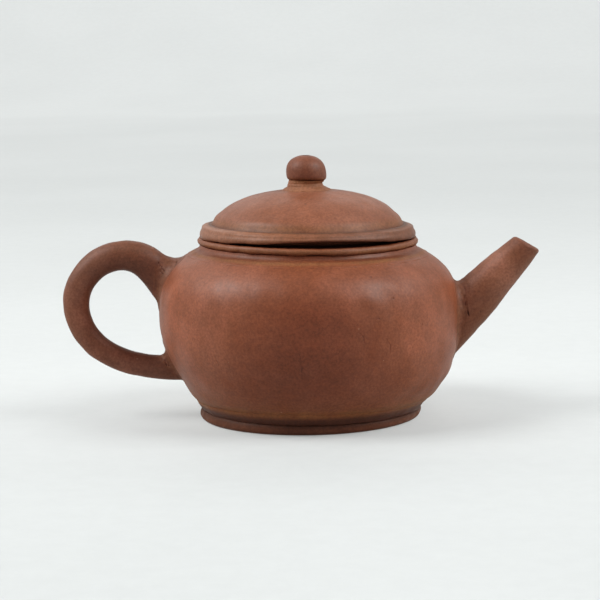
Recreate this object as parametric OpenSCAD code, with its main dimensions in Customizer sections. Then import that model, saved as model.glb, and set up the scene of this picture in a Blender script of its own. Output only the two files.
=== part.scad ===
// Small round teapot of unglazed stoneware, made from separate pieces of clay
// that are luted edge to edge, with a loose lid.
// Millimetres, +Z up. The spout points to +X and the handle to -X. The origin
// is the centre of the foot ring, on the surface that the pot stands on.

/* [Body] */
// Thickness of the body wall
wall_t = 2.6; // [2:0.1:3]
// Largest radius of the body
belly_r = 37.35; // [36.8:0.05:38.5]
// Height of the largest radius
belly_z = 24.6; // [23.5:0.1:25.5]
// Radius of the wall's lower edge
base_edge_r = 29.7; // [29.2:0.1:30.2]
// Height of the wall's lower edge
base_edge_z = 5.2; // [5:0.1:5.5]
// Angle at which the wall leaves the base, above the horizontal
base_lean = 51.5; // [48:0.5:56]
// Radius of the ridge where the shoulder ends
shoulder_r = 28.4; // [28:0.1:28.8]
// Height of the shoulder ridge
shoulder_z = 41.5; // [41:0.1:42]
// Angle at which the shoulder reaches its ridge, above the horizontal
shoulder_lean = 23.5; // [20:0.5:27]

/* [Foot] */
// Outer radius of the foot ring
foot_r = 27.6; // [27.2:0.1:28]
// Inner radius of the foot ring
foot_inner_r = 22.9; // [21.5:0.1:24]
// Height of the foot ring
foot_h = 2.6; // [2.4:0.1:2.9]
// Depth of the groove above the foot ring
groove_depth = 0.8; // [0.6:0.1:1]
// Thickness of the base
base_t = 2.6; // [2.2:0.1:2.8]

/* [Mouth] */
// Radius of the opening
mouth_r = 22.8; // [22.6:0.1:23.2]
// Outer radius of the bead round the mouth
mouth_bead_r = 27.45; // [27.2:0.05:27.7]
// Height of the bead round the mouth
mouth_bead_h = 1.6; // [1.4:0.1:1.8]
// Height of the cove between shoulder and mouth
neck_h = 1.9; // [1.8:0.1:2.2]

/* [Lid] */
// Outer radius of the lid's rim at its lower edge
lid_r = 26.55; // [26.2:0.05:26.8]
// Height of the lid's rim
lid_rim_h = 3.4; // [3.2:0.1:3.6]
// Height of the dome above the rim
dome_h = 8.75; // [8.5:0.05:9.5]
// Thickness of the dome
dome_t = 2.4; // [2:0.1:2.8]
// Gap all round between the lid's flange and the mouth
flange_gap = 0.4; // [0.3:0.05:0.6]
// Thickness of the flange
flange_t = 2; // [1.8:0.1:2.4]
// Depth of the flange below the rim
flange_h = 5.5; // [5:0.1:6.5]
// Radius of the air vent through the knob and dome
vent_r = 0.8; // [0.6:0.1:1.2]

/* [Knob] */
// Radius of the knob
knob_r = 5; // [4.8:0.1:5.4]
// Height of the knob
knob_h = 5.95; // [5.7:0.05:6.3]
// Radius of the knob's stem at its waist
stem_r = 4.3; // [4.1:0.1:4.5]
// Height of the stem
stem_h = 2.55; // [2.4:0.05:2.8]

/* [Spout] */
// Angle of the spout above the horizontal
spout_lean = 45.4; // [43:0.2:48]
// Distance of the spout's root from the pot's axis
spout_root_x = 37.15; // [36.9:0.05:37.4]
// Height of the spout's root
spout_root_z = 24.75; // [24:0.05:25.5]
// Length of the spout from its root
spout_len = 24.4; // [23:0.1:26]
// Outer radius at the root
spout_root_r = 6.4; // [6:0.1:6.6]
// Outer radius at the tip
spout_tip_r = 3.35; // [3.2:0.05:3.5]
// Radius of the straight bore at the tip
spout_bore_r = 2.2; // [2:0.1:2.3]
// Length of the straight bore
spout_bore_len = 9.5; // [8:0.5:11]
// Radius of the bore at the root
spout_throat_r = 4.3; // [4:0.1:4.6]
// Angle of the cut across the tip, below the horizontal
spout_cut = 31; // [25:1:40]
// Radius of each strainer hole
strainer_hole_r = 0.8; // [0.6:0.1:0.9]
// Radius of the ring of strainer holes
strainer_ring_r = 2.7; // [2.5:0.1:3]

/* [Handle] */
// Distance of the handle's outermost centre point from the pot's axis
handle_reach = 58.3; // [57.5:0.1:59.5]
// Height of that point
handle_mid_z = 29.3; // [28.5:0.1:30]
// Height of the centre line at the top of the loop
handle_top_z = 41.2; // [40.8:0.1:41.8]
// Height of the centre line at the lower joint
handle_low_z = 12.7; // [12.3:0.1:13.2]
// Half thickness where the handle leaves the shoulder
handle_half_t = 4.6; // [4.3:0.1:4.9]
// Width of the handle as a share of its thickness
handle_roundness = 0.96; // [0.85:0.01:1.1]

/* [Hidden] */

clay = [0.50, 0.29, 0.22];
clay_dark = [0.40, 0.23, 0.18];
clay_pale = [0.60, 0.38, 0.30];

turned_fn = 96;
hole_fn = 48;

// Heights of the pieces, from the ground up
base_top_z = foot_h + base_t;
neck_top_z = shoulder_z + neck_h;
seat_z = neck_top_z + mouth_bead_h;
rim_top_z = seat_z + lid_rim_h;
dome_top_z = rim_top_z + dome_h;
stem_z = dome_top_z - 0.35;
knob_z = stem_z + stem_h;
knob_top_z = knob_z + knob_h;

// Control lengths of the body's two curves
base_pull = 9.3;
belly_pull_low = 5;
belly_pull_high = 3.4;
shoulder_pull = 10.5;
body_steps = 12;

// A point and the tangent on a cubic curve with four control points
function curve_point(c, t) =
    pow(1 - t, 3) * c[0] + 3 * pow(1 - t, 2) * t * c[1]
    + 3 * (1 - t) * pow(t, 2) * c[2] + pow(t, 3) * c[3];
function curve_tangent(c, t) =
    pow(1 - t, 2) * (c[1] - c[0]) + 2 * (1 - t) * t * (c[2] - c[1])
    + pow(t, 2) * (c[3] - c[2]);
function unit(v) = v / norm(v);

// Points along a curve, moved to the left of its direction by depth
function curve_line(c, steps, depth = 0) = [
    for (i = [0:steps])
        let (t = i / steps, d = unit(curve_tangent(c, t)))
            curve_point(c, t) + depth * [-d[1], d[0]]
];
function tail(list) = [for (i = [1:len(list) - 1]) list[i]];
function backwards(list) = [for (i = [len(list) - 1:-1:0]) list[i]];
function arc(centre, radius, from, to, steps) = [
    for (i = [0:steps])
        let (a = from + (to - from) * i / steps)
            centre + radius * [cos(a), sin(a)]
];

// The body's outline, from the base edge up to the shoulder ridge
lower_curve = [
    [base_edge_r, base_edge_z],
    [base_edge_r, base_edge_z] + base_pull * [cos(base_lean), sin(base_lean)],
    [belly_r, belly_z - belly_pull_low],
    [belly_r, belly_z]
];
upper_curve = [
    [belly_r, belly_z],
    [belly_r, belly_z + belly_pull_high],
    [shoulder_r, shoulder_z] + shoulder_pull * [cos(shoulder_lean), -sin(shoulder_lean)],
    [shoulder_r, shoulder_z]
];
function body_line(depth) = concat(
    curve_line(lower_curve, body_steps, depth),
    tail(curve_line(upper_curve, body_steps, depth))
);
outer_line = body_line(0);
inner_line = body_line(wall_t);
wall_foot = inner_line[0];
wall_head = inner_line[len(inner_line) - 1];

module turned(points) {
    rotate_extrude($fn = turned_fn) polygon(points);
}

// Everything inside the body's outer face, for trimming what is luted onto it
module body_mass() {
    turned(concat([[0, base_edge_z]], outer_line, [[0, shoulder_z]]));
}

module foot_ring() {
    round_r = 1.2;
    color(clay_dark)
        turned(concat(
            [[foot_inner_r + 0.5, 0]],
            arc([foot_r - round_r, round_r], round_r, -90, 0, 4),
            [[foot_r, foot_h - groove_depth], [foot_r - groove_depth, foot_h]],
            [[foot_inner_r, foot_h], [foot_inner_r, 0.5]]
        ));
}

module base_disc() {
    color(clay_dark)
        turned([
            [0, foot_h], [foot_r - groove_depth, foot_h], outer_line[0], wall_foot,
            [wall_foot[0] - 2, base_top_z], [0, base_top_z]
        ]);
}

// One hole in the middle and six round it, drilled square to the wall
module strainer_holes() {
    drill_len = 12;
    for (i = [0:6])
        translate([
            belly_r - drill_len / 2,
            i == 0 ? 0 : strainer_ring_r * cos(60 * i),
            spout_root_z + (i == 0 ? 0 : strainer_ring_r * sin(60 * i))
        ])
            rotate([0, 90, 0])
                cylinder(h = drill_len, r = strainer_hole_r, center = true, $fn = hole_fn);
}

module body_wall() {
    color(clay)
        difference() {
            turned(concat(outer_line, backwards(inner_line)));
            strainer_holes();
        }
}

module shoulder_disc() {
    under_z = wall_head[1];
    color(clay)
        turned([
            [mouth_r, under_z], wall_head, [shoulder_r, shoulder_z], [mouth_r, shoulder_z]
        ]);
}

module neck_band() {
    cove_r = neck_h - 0.3;
    cove_x = shoulder_r - 0.2;
    color(clay_dark)
        turned(concat(
            [[mouth_r, shoulder_z], [shoulder_r - 0.05, shoulder_z]],
            arc([cove_x, neck_top_z], cove_r, 270, 180, 5),
            [[mouth_r, neck_top_z]]
        ));
}

module mouth_ring() {
    bead_r = mouth_bead_h / 2;
    color(clay)
        turned(concat(
            [[mouth_r, neck_top_z]],
            arc([mouth_bead_r - bead_r, neck_top_z + bead_r], bead_r, -90, 90, 8),
            [[mouth_r, seat_z]]
        ));
}

// Places a child, drawn along Z from the spout's root, along the spout
module along_spout() {
    translate([spout_root_x, 0, spout_root_z])
        rotate([0, 90 - spout_lean, 0])
            children();
}

// The spout's outside, carried on into the body and past the tip
spout_buried = 12;
spout_past_tip = 3;
spout_curve = [
    [spout_root_r, -spout_buried],
    [spout_root_r, 2],
    [spout_root_r - 0.8, 10],
    [spout_tip_r - 0.35, spout_len + spout_past_tip]
];
module spout_mass() {
    along_spout()
        turned(concat(
            [[0, -spout_buried]],
            curve_line(spout_curve, 8),
            [[0, spout_len + spout_past_tip]]
        ));
}

module spout_passage() {
    straight_from = spout_len - spout_bore_len;
    along_spout() {
        translate([0, 0, straight_from])
            cylinder(h = spout_bore_len + spout_past_tip + 1, r = spout_bore_r, $fn = hole_fn);
        translate([0, 0, -spout_buried - 1])
            cylinder(h = straight_from - 2, r = spout_throat_r, $fn = hole_fn);
        translate([0, 0, straight_from - spout_buried - 3])
            cylinder(
                h = spout_buried + 3, r1 = spout_throat_r, r2 = spout_bore_r, $fn = hole_fn
            );
    }
}

module spout_tip_cut() {
    cut_size = 20;
    tip_x = spout_root_x + spout_len * cos(spout_lean);
    tip_z = spout_root_z + spout_len * sin(spout_lean);
    translate([tip_x, 0, tip_z])
        rotate([0, spout_cut, 0])
            translate([-cut_size / 2, -cut_size / 2, 0])
                cube(cut_size);
}

module spout() {
    color(clay_dark)
        difference() {
            spout_mass();
            spout_passage();
            spout_tip_cut();
            body_mass();
        }
}

// A collar of soft clay round the spout's root, widest at its two sides, where
// it stands furthest out from the body
module spout_fillet() {
    collar_end = 8;
    bulge_r = 10.4;
    bulge_x = spout_root_x - 7;
    color(clay)
        difference() {
            intersection() {
                along_spout()
                    translate([0, 0, -spout_buried])
                        cylinder(
                            h = spout_buried + collar_end,
                            r1 = spout_root_r + 2.6, r2 = spout_root_r + 0.1, $fn = 64
                        );
                translate([bulge_x, 0, spout_root_z])
                    sphere(r = bulge_r, $fn = 64);
            }
            spout_mass();
            body_mass();
        }
}

// The handle's centre line: out from the shoulder, over the top, round and back in
handle_top_x = -46;
handle_root = [-35.5, 34];
handle_rise = 52;
handle_out = [
    handle_root,
    handle_root + 4 * [-cos(handle_rise), sin(handle_rise)],
    [handle_top_x + 5.5, handle_top_z],
    [handle_top_x, handle_top_z]
];
handle_over = [
    [handle_top_x, handle_top_z],
    [handle_top_x - 6.9, handle_top_z],
    [-handle_reach, handle_mid_z + 5.7],
    [-handle_reach, handle_mid_z]
];
handle_back = [
    [-handle_reach, handle_mid_z],
    [-handle_reach, handle_mid_z - 9],
    [-50, handle_low_z],
    [-34, handle_low_z]
];
handle_sides = 20;
handle_buried = 4.5;

// Half thickness along the handle, from 0 at the shoulder to 1 at the lower joint
function handle_half(u) = handle_half_t * (
    u < 0.45 ? 1 - 0.62 * u : u < 0.75 ? 0.721 - 0.36 * (u - 0.45) : 0.613 + 0.3 * (u - 0.75)
);

// Each ring is [centre, direction, half thickness]
function handle_part(c, steps, from, to) = [
    for (i = [0:steps])
        let (t = i / steps)
            [curve_point(c, t), unit(curve_tangent(c, t)), handle_half(from + (to - from) * t)]
];
function stretched(ring, distance) = [ring[0] + distance * ring[1], ring[1], ring[2]];
handle_run = concat(
    handle_part(handle_out, 8, 0, 0.17),
    tail(handle_part(handle_over, 12, 0.17, 0.46)),
    tail(handle_part(handle_back, 18, 0.46, 1))
);
handle_rings = concat(
    [stretched(handle_run[0], -handle_buried)],
    handle_run,
    [stretched(handle_run[len(handle_run) - 1], handle_buried)]
);

// One point of a ring: across the loop by cos, along Y by sin
function ring_point(ring, a) = [
    ring[0][0] - ring[1][1] * ring[2] * cos(a),
    ring[2] * handle_roundness * sin(a),
    ring[0][1] + ring[1][0] * ring[2] * cos(a)
];

module handle_mass() {
    sides = handle_sides;
    last = len(handle_rings) - 1;
    points = [
        for (ring = handle_rings, k = [0:sides - 1]) ring_point(ring, 360 * k / sides)
    ];
    walls = [
        for (i = [0:last - 1], k = [0:sides - 1], half = [0, 1])
            let (a = i * sides + k, b = i * sides + (k + 1) % sides)
                half == 0 ? [a, b, a + sides] : [b, b + sides, a + sides]
    ];
    near_cap = [for (k = [sides - 1:-1:0]) k];
    far_cap = [for (k = [0:sides - 1]) last * sides + k];
    polyhedron(points, concat([near_cap, far_cap], walls));
}

module handle() {
    color(clay_dark)
        difference() {
            handle_mass();
            body_mass();
        }
}

// A collar of soft clay round one end of the handle, widening towards the body
module handle_fillet(place, lean, length, wide_r, narrow_r) {
    color(clay)
        difference() {
            translate([place[0], 0, place[1]])
                rotate([0, -90 - lean, 0])
                    cylinder(h = length, r1 = wide_r, r2 = narrow_r, $fn = 64);
            handle_mass();
            body_mass();
        }
}
module handle_upper_fillet() {
    handle_fillet([-32.4, 31.4], -handle_rise, 9.5, 8, 5);
}
module handle_lower_fillet() {
    handle_fillet([-31, handle_low_z], 0, 8.2, 5.8, 3.5);
}

rim_curve = [
    [lid_r, seat_z], [lid_r + 1.05, seat_z + 0.7],
    [lid_r - 0.55, rim_top_z - 0.6], [lid_r - 2.05, rim_top_z]
];
dome_edge_r = lid_r - 2.15;
dome_curve = [
    [dome_edge_r, rim_top_z], [dome_edge_r - 1.8, rim_top_z + 4.6],
    [12, dome_top_z], [0, dome_top_z]
];
dome_steps = 12;
dome_inside = curve_line(dome_curve, dome_steps, dome_t);
flange_r = mouth_r - flange_gap;

// The top of the dome is pressed flat where the stem stands
function pressed(points) = [for (p = points) [p[0], min(p[1], stem_z)]];

module vent() {
    translate([0, 0, seat_z])
        cylinder(h = knob_top_z - seat_z + 2, r = vent_r, $fn = hole_fn);
}

module lid_rim() {
    inner_r = flange_r - flange_t;
    color(clay_pale)
        turned(concat(
            curve_line(rim_curve, 8),
            [dome_curve[0], dome_inside[0], [inner_r, seat_z + 1.4], [inner_r, seat_z]]
        ));
}

module lid_dome() {
    color(clay_pale)
        difference() {
            turned(concat(
                pressed(curve_line(dome_curve, dome_steps)),
                backwards(dome_inside)
            ));
            vent();
        }
}

module lid_flange() {
    inner_r = flange_r - flange_t;
    low_z = seat_z - flange_h;
    edge_r = flange_t / 2;
    color(clay)
        turned(concat(
            [[inner_r, seat_z]],
            arc([inner_r + edge_r, low_z + edge_r], edge_r, 180, 360, 8),
            [[flange_r, seat_z]]
        ));
}

module knob_stem() {
    foot_flare = 1.5;
    stem_curve = [
        [stem_r + foot_flare, stem_z], [stem_r + 0.2, stem_z + 0.5],
        [stem_r - 0.4, knob_z - 1], [stem_r + 0.15, knob_z]
    ];
    color(clay)
        difference() {
            turned(concat([[0, stem_z]], curve_line(stem_curve, 6), [[0, knob_z]]));
            vent();
        }
}

module knob() {
    widest_z = knob_z + 1.55;
    under_curve = [
        [stem_r + 0.1, knob_z], [knob_r, knob_z + 0.05],
        [knob_r, widest_z - 0.5], [knob_r, widest_z]
    ];
    // A squarish dome: the powers of the sine and cosine flatten its crown
    crown_power = 0.87;
    crown_h = knob_top_z - widest_z;
    crown_steps = 10;
    crown = [
        for (i = [1:crown_steps])
            let (a = 90 * i / crown_steps)
                [knob_r * pow(cos(a), crown_power), widest_z + crown_h * pow(sin(a), crown_power)]
    ];
    color(clay)
        difference() {
            turned(concat([[0, knob_z]], curve_line(under_curve, 4), crown));
            vent();
        }
}

foot_ring();
base_disc();
body_wall();
shoulder_disc();
neck_band();
mouth_ring();
spout();
spout_fillet();
handle();
handle_upper_fillet();
handle_lower_fillet();
lid_rim();
lid_dome();
lid_flange();
knob_stem();
knob();
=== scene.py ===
import math

import bmesh
import bpy
import numpy as np
from mathutils import Matrix, Vector


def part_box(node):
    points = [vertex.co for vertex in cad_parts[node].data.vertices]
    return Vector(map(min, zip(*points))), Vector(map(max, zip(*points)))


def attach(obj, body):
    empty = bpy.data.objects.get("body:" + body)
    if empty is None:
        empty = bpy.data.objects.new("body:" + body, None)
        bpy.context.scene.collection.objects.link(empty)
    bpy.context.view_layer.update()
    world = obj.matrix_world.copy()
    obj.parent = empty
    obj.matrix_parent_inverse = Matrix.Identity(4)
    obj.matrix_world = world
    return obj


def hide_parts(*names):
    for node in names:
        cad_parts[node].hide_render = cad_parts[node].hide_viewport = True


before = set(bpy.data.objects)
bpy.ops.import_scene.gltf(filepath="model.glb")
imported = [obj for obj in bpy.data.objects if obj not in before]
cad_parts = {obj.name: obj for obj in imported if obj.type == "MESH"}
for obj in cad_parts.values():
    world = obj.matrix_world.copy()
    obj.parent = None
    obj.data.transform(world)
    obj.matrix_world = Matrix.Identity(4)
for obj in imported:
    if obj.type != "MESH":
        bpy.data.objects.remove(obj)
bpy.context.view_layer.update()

# Everything below is worked out in millimetres, and turned into metres where
# a mesh, lamp or camera is made. The spout points to +X, +Z is up.
MM = 0.001


# ------------ sizes
def size(node):
    """Lowest and highest corner of a CAD node, in millimetres."""
    low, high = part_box(node)
    return np.array(low) / MM, np.array(high) / MM


def reach(node):
    """Radius of a round CAD node."""
    return size(node)[1][1]


def top(node):
    return size(node)[1][2]


def bottom(node):
    return size(node)[0][2]


FOOT_R = reach("foot_ring")
FOOT_H = top("foot_ring")
BASE_EDGE_R = reach("base_disc")
BASE_EDGE_Z = bottom("body_wall")
BELLY_R = reach("body_wall")
SHOULDER_R = reach("shoulder_disc")
SHOULDER_Z = top("body_wall")
NECK_TOP = top("neck_band")
BEAD_R = reach("mouth_ring")
SEAT_Z = top("mouth_ring")
FLANGE_R = reach("lid_flange")
FLANGE_LOW = bottom("lid_flange")
RIM_TOP = top("lid_rim")
RIM_R = reach("lid_rim")
DOME_R = reach("lid_dome")
STEM_Z = bottom("knob_stem")
KNOB_Z = bottom("knob")
KNOB_TOP = top("knob")
KNOB_R = reach("knob")
SPOUT_CORNER = size("spout")[1]

WALL_T = 2.6
BASE_T = 2.6
BELLY_Z = 24.6
FOOT_INNER_R = FOOT_R - 4.7
MOUTH_R = FLANGE_R + 0.4
FLANGE_T = 2.0
DOME_T = 2.4
VENT_R = 0.8


# ------------ lines and noise
def bezier(a, b, c, d, steps):
    """Points on a cubic curve with four control points."""
    t = np.linspace(0, 1, steps + 1)[:, None]
    a, b, c, d = (np.array(p, float) for p in (a, b, c, d))
    return (1 - t) ** 3 * a + 3 * (1 - t) ** 2 * t * b + 3 * (1 - t) * t * t * c + t**3 * d


def arc(centre, radius, start, end, steps):
    a = np.radians(np.linspace(start, end, steps + 1))
    return np.array(centre, float) + radius * np.c_[np.cos(a), np.sin(a)]


def angles(count):
    """Even steps round a circle, in radians."""
    return np.linspace(0, 2 * math.pi, count, endpoint=False)


def polar(length, degrees):
    return np.array([math.cos(math.radians(degrees)), math.sin(math.radians(degrees))]) * length


def inset(line, depth):
    """A line moved to the left of its direction by depth."""
    d = np.gradient(line, axis=0)
    d /= np.linalg.norm(d, axis=1)[:, None]
    return line + depth * np.c_[-d[:, 1], d[:, 0]]


def evenly(line, step, closed):
    """The same line with points about a step apart."""
    if closed:
        line = np.vstack([line, line[:1]])
    run = np.r_[0, np.cumsum(np.linalg.norm(np.diff(line, axis=0), axis=1))]
    count = max(int(round(run[-1] / step)), 3)
    at = np.linspace(0, run[-1], count + 1)
    out = np.c_[np.interp(at, run, line[:, 0]), np.interp(at, run, line[:, 1])]
    return out[:-1] if closed else out


def rounded(line, step, passes, closed=True):
    """Evenly spaced points, with the corners worn round by averaging neighbours."""
    line = evenly(np.vstack(line), step, closed)
    for _ in range(passes):
        worn = 0.5 * line + 0.25 * (np.roll(line, 1, 0) + np.roll(line, -1, 0))
        if not closed:
            worn[0], worn[-1] = line[0], line[-1]
        line = worn
    return line


def waves(p, length, seed):
    """Smooth unevenness about a wavelength long, roughly between -2 and 2."""
    count = 18
    rng = np.random.default_rng(seed)
    way = rng.normal(size=(count, 3))
    way /= np.linalg.norm(way, axis=1)[:, None]
    way *= (2 * math.pi / length) * rng.uniform(0.7, 1.5, (count, 1))
    phase = rng.uniform(0, 2 * math.pi, count)
    return np.sin(p @ way.T + phase).sum(1) / math.sqrt(count / 2)


def two_waves(p, seed, coarse, fine):
    """Waves of two kinds, each given as (length, height), from two seeds in a row."""
    return coarse[1] * waves(p, coarse[0], seed) + fine[1] * waves(p, fine[0], seed + 1)


def bump(x, centre, width):
    """1 at the centre, and almost 0 two widths away from it."""
    return np.exp(-(((x - centre) / width) ** 2))


def bumps(x, *places):
    """The sum of several bumps, each given as (centre, width, height)."""
    return sum(height * bump(x, centre, width) for centre, width, height in places)


def smooth_step(x, low, high):
    """0 below low and 1 above high, with a smooth slope between them."""
    t = np.clip((x - low) / (high - low), 0, 1)
    return t * t * (3 - 2 * t)


def off_axis(p):
    """How far points are from the pot's axis."""
    return np.hypot(p[:, 0], p[:, 1])


def degrees_round(p):
    """Angle of points round the pot: 0 at the spout, -90 at the front."""
    return np.degrees(np.arctan2(p[:, 1], p[:, 0]))


def pushed(p, n, amount):
    """Points moved along their normals."""
    return p + n * amount[:, None]


# ------------ the pot's own unevenness
MOUTH_TILT = math.tan(math.radians(1.0))


def lean(z):
    """The share of the mouth's tilt that the pot has at a height."""
    return np.clip((z - 5) / 37, 0, 1)


def level_height(p):
    """The height that points had before the tilt."""
    return p[:, 2] + MOUTH_TILT * lean(p[:, 2]) * p[:, 0]


def drift(z):
    """How far the wall stands off its axis, towards the spout, at each height."""
    lower = bumps(z, (1, 2, -0.16), (3.9, 0.8, -0.16), (10.6, 5.4, 1), (18, 4, 0.12))
    return lower + bumps(z, (22, 4, -0.07), (29, 9, -0.2), (38, 4, 0.06))


def settle(p, tilt=None):
    """The mouth dips towards the spout, and the wall wanders off its axis."""
    out = p.copy()
    out[:, 0] += drift(p[:, 2])
    out[:, 2] -= MOUTH_TILT * (lean(p[:, 2]) if tilt is None else tilt) * p[:, 0]
    return out


# ------------ meshes
def grid_faces(rows, columns, close_rows):
    """Quads of a grid that always closes round its columns."""
    faces = []
    for i in range(rows if close_rows else rows - 1):
        a, b = i * columns, (i + 1) % rows * columns
        for k in range(columns):
            m = (k + 1) % columns
            faces.append((a + k, a + m, b + m, b + k))
    return faces


def cap_ends(faces, near, far, rows, columns):
    """Closes both ends of a tube. near and far are the points in the middle of its ends."""
    end = (rows - 1) * columns
    for k in range(columns):
        m = (k + 1) % columns
        faces.append((near, m, k))
        faces.append((far, end + k, end + m))


def turned(line, segments, closed=True):
    """Points, faces and normals of a (radius, height) profile turned about Z.

    An open profile starts and ends on the axis.
    """
    a = angles(segments)
    body = line if closed else line[1:-1]
    r, z = body[:, :1], body[:, 1:]
    p = np.stack([r * np.cos(a), r * np.sin(a), z + 0 * a], -1).reshape(-1, 3)
    faces = grid_faces(len(body), segments, closed)
    if not closed:
        cap_ends(faces, len(p), len(p) + 1, len(body), segments)
        p = np.vstack([p, [[0, 0, line[0][1]], [0, 0, line[-1][1]]]])
    return p, faces, normals(p, faces)


def mesh_object(name, p, faces):
    """A smooth-shaded object from points in millimetres."""
    mesh = bpy.data.meshes.new(name)
    mesh.from_pydata((p * MM).tolist(), [], faces)
    mesh.polygons.foreach_set("use_smooth", [True] * len(mesh.polygons))
    mesh.update()
    obj = bpy.data.objects.new(name, mesh)
    bpy.context.scene.collection.objects.link(obj)
    return obj


def normals(p, faces):
    """Outward normals at the vertices of a mesh given in millimetres."""
    mesh = bpy.data.meshes.new("scratch")
    mesh.from_pydata(p.tolist(), [], faces)
    mesh.update()
    n = np.zeros(len(p) * 3, np.float32)
    mesh.vertex_normals.foreach_get("vector", n)
    bpy.data.meshes.remove(mesh)
    return n.reshape(-1, 3).astype(float)


def add_mask(obj, name, values):
    """A value from 0 to 1 at each point, for the material to read."""
    layer = obj.data.attributes.new(name, "FLOAT", "POINT")
    layer.data.foreach_set("value", np.clip(values, 0, 1).astype(np.float32))


# Fired clay as it lies on each piece: brown patina in the grooves, orange where
# it was rubbed, dark where it was handled or stained by tea. The two broad spots on
# the front flanks are partly orange mottling and partly painted light where the
# flanks face the softboxes. The dark mask also takes the painted shade a piece passes in.
RED_SPOTS = [
    ((-33, -14, 36), 6, 0.5),
    ((-30, -24, 30), 9, 0.45),
    ((-34, -18, 20), 8, 0.35),
    ((36, -9, 32), 3.5, 0.35),
    ((22, -31, 24), 7, 0.3),
    ((30, -22, 22), 7, 0.2),
    ((-16, -32, 33), 9, 0.3),
    ((6, -36, 33), 8, 0.35),
    ((0, -20, 52), 7, 0.15),
    # These two broad flank spots are partly the clay's mottling and partly painted light on the
    # flanks
    ((-30, -22, 25), 14, 0.2),
    ((32, -20, 30), 14, 0.3),
    ((47, -4, 37), 4.5, 1.1),
    ((-59, -3, 27), 7, 0.8),
    ((-48, -4, 14), 6, 0.8),
    ((-54, -3, 19), 5, 0.6),
    ((28, 24, 30), 10, 0.6),
    ((-20, 30, 22), 12, 0.5),
]
DARK_SPOTS = [
    ((0, -40, 16), 17, 1.0),
    ((3, -38, 28), 9, 0.65),
    ((8, 38, 14), 18, 0.7),
    ((41, -6, 29), 4, 0.25),
    ((54, -3, 43), 4.5, 1.0),
    ((-38, -4, 38), 6, 0.8),
    ((38, -14, 21), 7, 0.3),
]


def spots(p, places):
    """How strongly points lie in round spots given as (centre, width, strength)."""
    total = np.zeros(len(p))
    for centre, width, strength in places:
        total += strength * bump(np.linalg.norm(p - np.array(centre), axis=1), 0, width)
    return total


def finish_piece(p, faces, node, body, material, patina=None, inside=None, shade=0):
    """Makes the piece that stands for a CAD node, with its masks, parents it to its body and
    hides the node.
    """
    obj = mesh_object(node + "_clay", p, faces)
    none = np.zeros(len(p))
    add_mask(obj, "patina", none if patina is None else patina)
    add_mask(obj, "inside", none if inside is None else inside)
    add_mask(obj, "red", spots(p, RED_SPOTS) * (1 + 0.35 * waves(p, 9, 5)))
    # The dark mask: the dark spots, plus the painted shade a piece passes in as shade
    add_mask(obj, "dark", spots(p, DARK_SPOTS) + shade)
    add_mask(obj, "mark", none)
    obj.data.materials.append(material)
    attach(obj, body)
    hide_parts(node)
    return obj


# ------------ outlines of the body
LOWER = bezier(
    (BASE_EDGE_R, BASE_EDGE_Z),
    np.array([BASE_EDGE_R, BASE_EDGE_Z]) + polar(9.3, 51.5),
    (BELLY_R, BELLY_Z - 5),
    (BELLY_R, BELLY_Z),
    60,
)
UPPER = bezier(
    (BELLY_R, BELLY_Z),
    (BELLY_R, BELLY_Z + 3.4),
    np.array([SHOULDER_R, SHOULDER_Z]) + polar(10.5, -23.5),
    (SHOULDER_R, SHOULDER_Z),
    60,
)
WALL_LINE = np.vstack([LOWER, UPPER[1:]])
# The wall is a little fuller than its two drawn curves, but trimmed in over the base
WALL_LINE[:, 0] += bumps(WALL_LINE[:, 1], (13.5, 4.8, 0.3), (21, 4, 0.07), (35.5, 4.5, 0.26))
WALL_LINE[:, 0] += bumps(WALL_LINE[:, 1], (4.8, 1.1, -0.62), (14.4, 2.3, -0.17))
INNER_LINE = inset(WALL_LINE, WALL_T)
EDGE_R = WALL_LINE[0][0]


def wall_radius(z):
    """The body's outer radius at a height."""
    return np.interp(z, WALL_LINE[:, 1], WALL_LINE[:, 0])


def outside_wall(p):
    """How far points stand out from the body's outer face, in millimetres."""
    z = level_height(p)
    return np.hypot(p[:, 0] - drift(z), p[:, 1]) - wall_radius(z)


def fuller_foot(p):
    """On the spout's side the wall runs straight down to the ridge, with no hollow over it."""
    return 0.49 * bump(p[:, 2], 5.7, 1.65) * smooth_step(p[:, 0], 0, 25)


def wall_dents(p):
    """Unevenness of the outer wall, and its fuller foot on the spout's side."""
    above_base = smooth_step(p[:, 2], BASE_EDGE_Z + 0.3, 9)
    below_shoulder = smooth_step(-p[:, 2], -SHOULDER_Z + 0.4, -36)
    dents = two_waves(p, 11, (22, 0.06), (7, 0.03))
    return dents * (above_base * below_shoulder) + fuller_foot(p)


TURN = 256


def make_foot_ring(material):
    parts = [
        [(FOOT_INNER_R + 0.6, 0)],
        arc((FOOT_R - 1.0, 1.0), 1.0, -90, 0, 8),
        arc((FOOT_R - 0.75, FOOT_H - 0.8), 0.7, 0, 90, 6),
        [(FOOT_R - 1.4, FOOT_H - 0.1), (FOOT_INNER_R, FOOT_H), (FOOT_INNER_R, 0.6)],
    ]
    line = rounded(parts, 0.2, 2)
    line[:, 1] -= line[:, 1].min()
    p, faces, n = turned(line, TURN)
    uneven = two_waves(p, 21, (9, 0.06), (3, 0.03)) + 0.06
    p = pushed(p, n, uneven * smooth_step(p[:, 2], 0.1, 0.9))
    # Painted shade at the top of the foot ring, under the groove, through the inside mask
    groove = 0.9 * bump(p[:, 2], FOOT_H + 0.2, 1.1)
    p = settle(trim(p))
    finish_piece(p, faces, "foot_ring", "pot", material, inside=groove)


def trim(p):
    """The groove over the foot was cut a little askew, higher on the handle's side."""
    out = p.copy()
    out[:, 2] -= 0.012 * p[:, 0] * bump(p[:, 2], FOOT_H, 1.6) * smooth_step(p[:, 2], 0.2, 1.4)
    return out


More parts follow.
